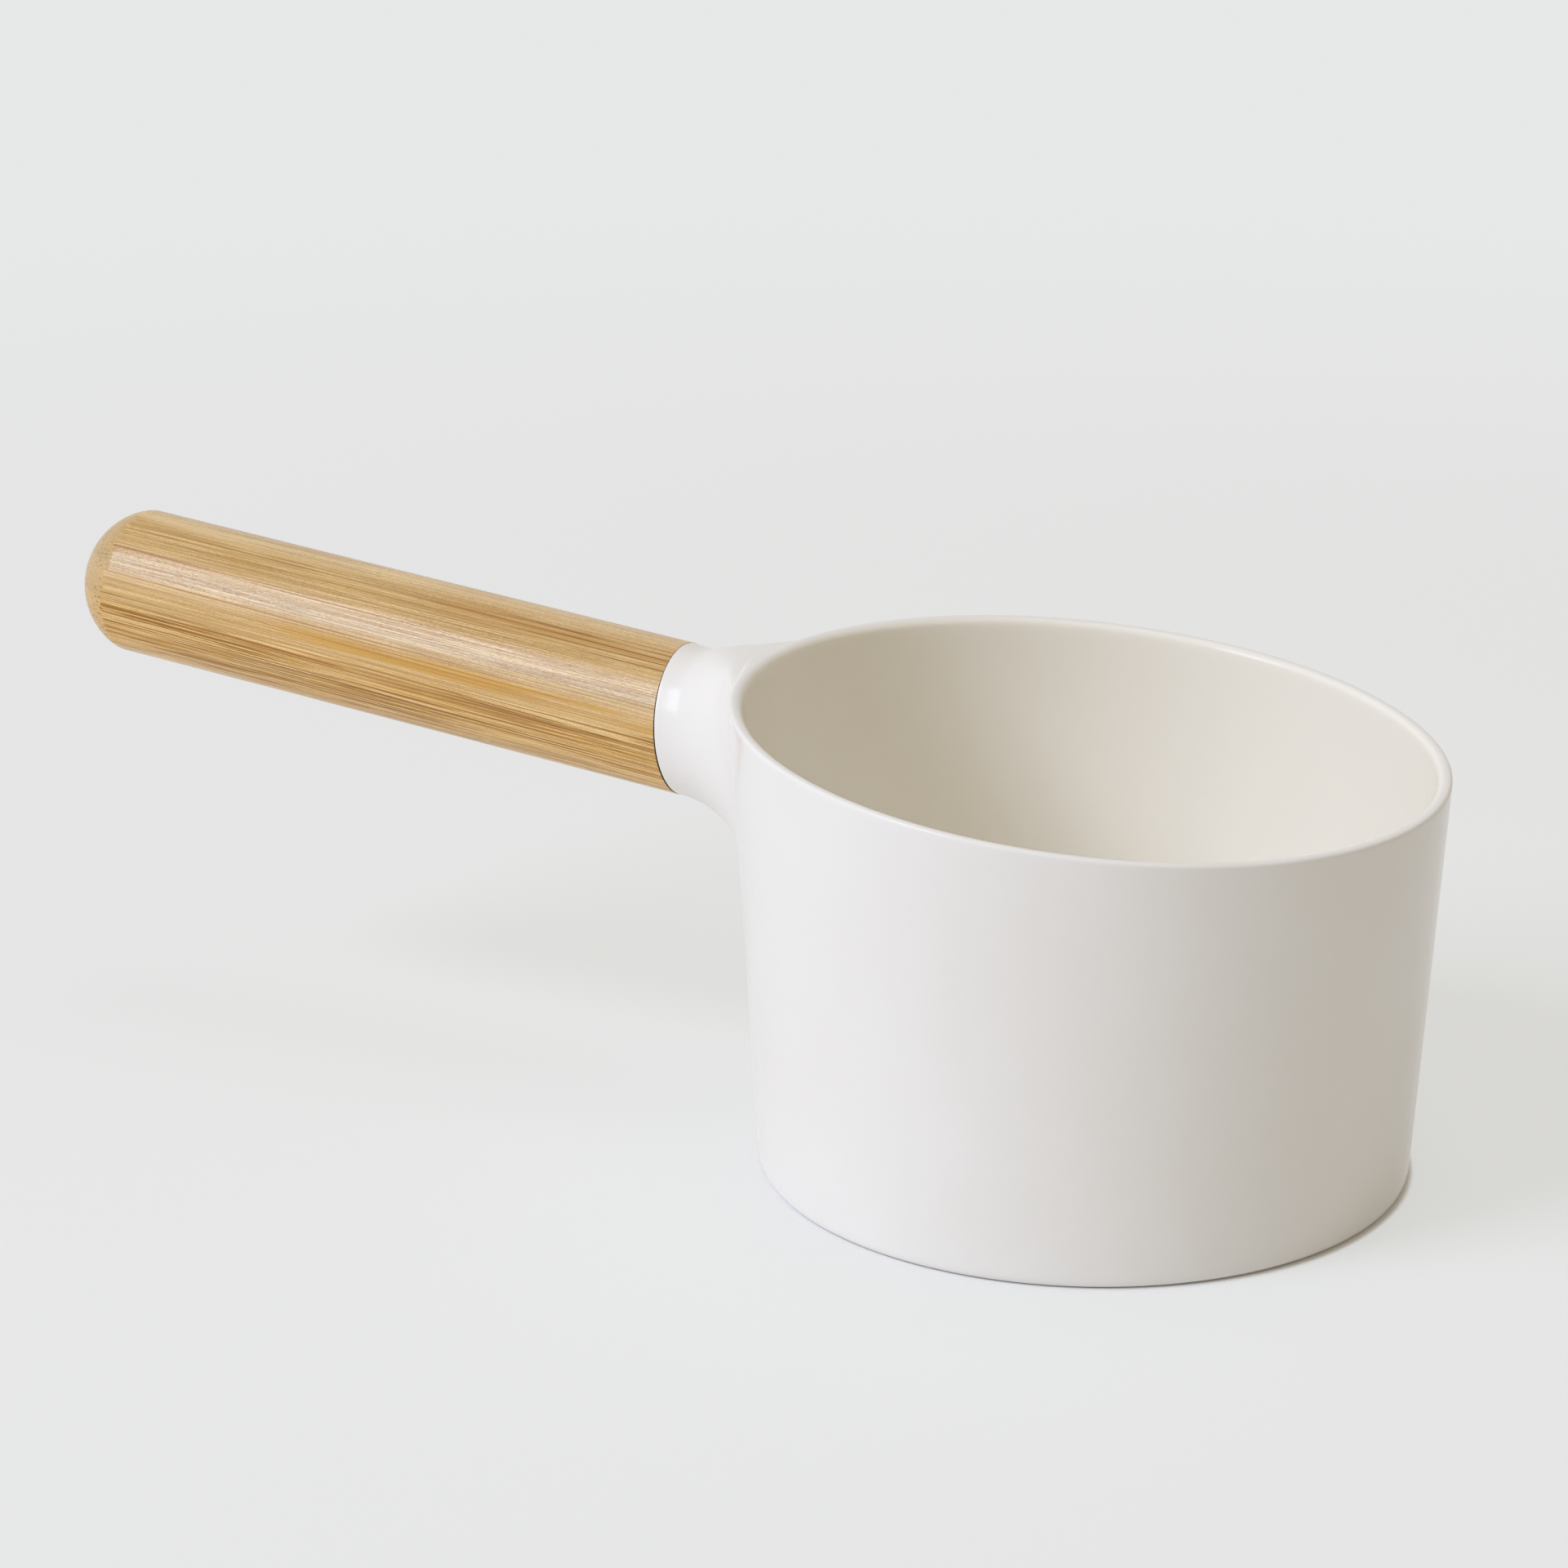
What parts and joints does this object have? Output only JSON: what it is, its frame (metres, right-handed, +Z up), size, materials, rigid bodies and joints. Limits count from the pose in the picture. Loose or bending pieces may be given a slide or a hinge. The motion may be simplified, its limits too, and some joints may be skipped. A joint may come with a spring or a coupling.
{
  "type": "serving ladle",
  "caption": "Dipper-shaped serving ladle: a tapered white cup with a slanted rim, and a flared collar that carries a straight round handle of laminated bamboo.",
  "frame": {"origin": "centre of the cup's base, in the plane of the ring that the cup stands on", "axes": "+Z up along the cup's axis, the handle points along -X and rises a little, and the plane y = 0 is a mirror plane"},
  "size_m": [0.2558, 0.12, 0.0929],
  "materials": {
    "white_plastic": "smooth moulding, semi-gloss outside and a little duller inside",
    "bamboo": "turned and sanded with the grain lengthwise, satin clear varnish"
  },
  "bodies": {
    "root": {"cup": "white_plastic", "handle_top_strip": "bamboo", "handle_upper_strip": "bamboo", "handle_lower_strip": "bamboo", "handle_bottom_strip": "bamboo"}
  },
  "joints": []
}
